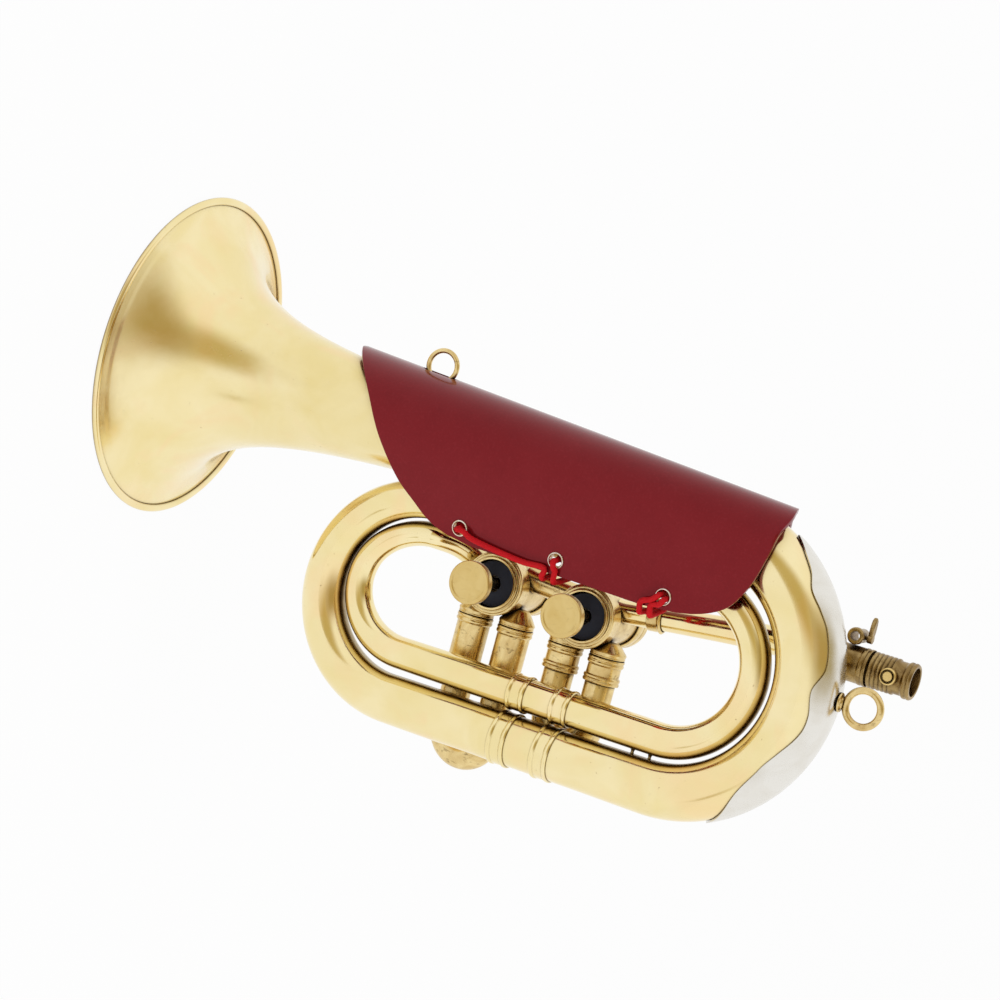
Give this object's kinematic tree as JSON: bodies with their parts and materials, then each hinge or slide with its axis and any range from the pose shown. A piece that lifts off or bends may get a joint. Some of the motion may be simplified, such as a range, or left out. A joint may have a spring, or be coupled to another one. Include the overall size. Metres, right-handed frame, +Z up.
{
  "type": "valved bugle",
  "caption": "Compact valved bugle with flared bell, nested tube loops, sprung pistons, pull slides, bow guard and laced leather hand guard; stands on its bell rim.",
  "frame": {"origin": "middle of the outline seen from above, on the level of the flat of the bell rim", "axes": "+Z up along the bell's axis towards the mouthpiece end, -Y the way the piston buttons face, +X from the bell towards the loops' far side"},
  "size_m": [0.1702, 0.118, 0.2902],
  "materials": {
    "brass": "polished",
    "aged_brass": "dull with age",
    "nickel_silver": "polished nickel silver",
    "spring_steel": "drawn wire",
    "felt": "pressed felt",
    "leather": "burgundy, semi-gloss",
    "cord": "red braided cord",
    "eyelet": "nickelled"
  },
  "bodies": {
    "bugle": {"bell": "brass", "bell_rim_wire": "brass", "outer_right_bow": "brass", "outer_left_bow": "brass", "outer_sleeve": "brass", "outer_ferrule_left": "brass", "outer_ferrule_right": "brass", "second_top_tube": "brass", "inner_right_bow": "brass", "inner_sleeve": "brass", "inner_ferrule_left": "brass", "inner_ferrule_right": "brass", "inner_left_bow": "brass", "leadpipe": "brass", "guard_ring": "brass", "leadpipe_ferrule": "aged_brass", "valve_knuckle": "aged_brass", "receiver_socket": "aged_brass", "lyre_holder": "aged_brass", "receiver_stay": "aged_brass", "top_ring": "aged_brass", "valve_1_casing": "aged_brass", "valve_1_top_cap": "aged_brass", "valve_1_bottom_cap": "aged_brass", "valve_1_slide_elbow_a": "aged_brass", "valve_1_slide_elbow_b": "aged_brass", "valve_1_slide_leg_a": "aged_brass", "valve_1_slide_leg_b": "aged_brass", "valve_2_casing": "aged_brass", "valve_2_top_cap": "aged_brass", "valve_2_bottom_cap": "aged_brass", "valve_2_slide_elbow_a": "aged_brass", "valve_2_slide_elbow_b": "aged_brass", "valve_2_slide_leg_a": "aged_brass", "valve_2_slide_leg_b": "aged_brass", "bow_guard": "nickel_silver", "valve_1_spring": "spring_steel", "valve_2_spring": "spring_steel", "valve_1_felt": "felt", "valve_2_felt": "felt", "leather_guard": "leather", "lacing": "cord", "eyelet_front_1": "eyelet", "eyelet_front_2": "eyelet", "eyelet_front_3": "eyelet", "eyelet_back_1": "eyelet", "eyelet_back_2": "eyelet", "eyelet_back_3": "eyelet"},
    "piston_1": {"valve_1_piston": "nickel_silver", "valve_1_stem": "aged_brass", "valve_1_button": "brass"},
    "piston_2": {"valve_2_piston": "nickel_silver", "valve_2_stem": "aged_brass", "valve_2_button": "brass"},
    "slide_bow_1": {"valve_1_slide_bow": "aged_brass"},
    "slide_bow_2": {"valve_2_slide_bow": "aged_brass"},
    "shank": {"tuning_shank": "aged_brass", "shank_stud": "brass"},
    "thumb_screw": {"lyre_screw": "aged_brass"}
  },
  "joints": [
    {"name": "piston_1_press", "type": "slide", "parent": "bugle", "child": "piston_1", "axis": [0, 1, 0], "range_m": [0, 0.0125], "stiffness_N_per_m": 160, "springref_m": -0.006, "deforming": ["valve_1_spring"]},
    {"name": "piston_2_press", "type": "slide", "parent": "bugle", "child": "piston_2", "axis": [0, 1, 0], "range_m": [0, 0.0125], "stiffness_N_per_m": 160, "springref_m": -0.006, "deforming": ["valve_2_spring"]},
    {"name": "slide_1_pull", "type": "slide", "parent": "bugle", "child": "slide_bow_1", "axis": [0.9998, 0, 0.0187], "range_m": [0, 0.012]},
    {"name": "slide_2_pull", "type": "slide", "parent": "bugle", "child": "slide_bow_2", "axis": [0.9998, 0, 0.0187], "range_m": [0, 0.005]},
    {"name": "shank_pull", "type": "slide", "parent": "bugle", "child": "shank", "axis": [-0.0187, 0, 0.9998], "range_m": [0, 0.008]},
    {"name": "thumb_screw_turn", "type": "hinge", "parent": "bugle", "child": "thumb_screw", "pos_m": [-0.00389, 0.019, 0.26715], "axis": [-0.0187, 0, 0.9998], "range_deg": [-90, 90]}
  ]
}
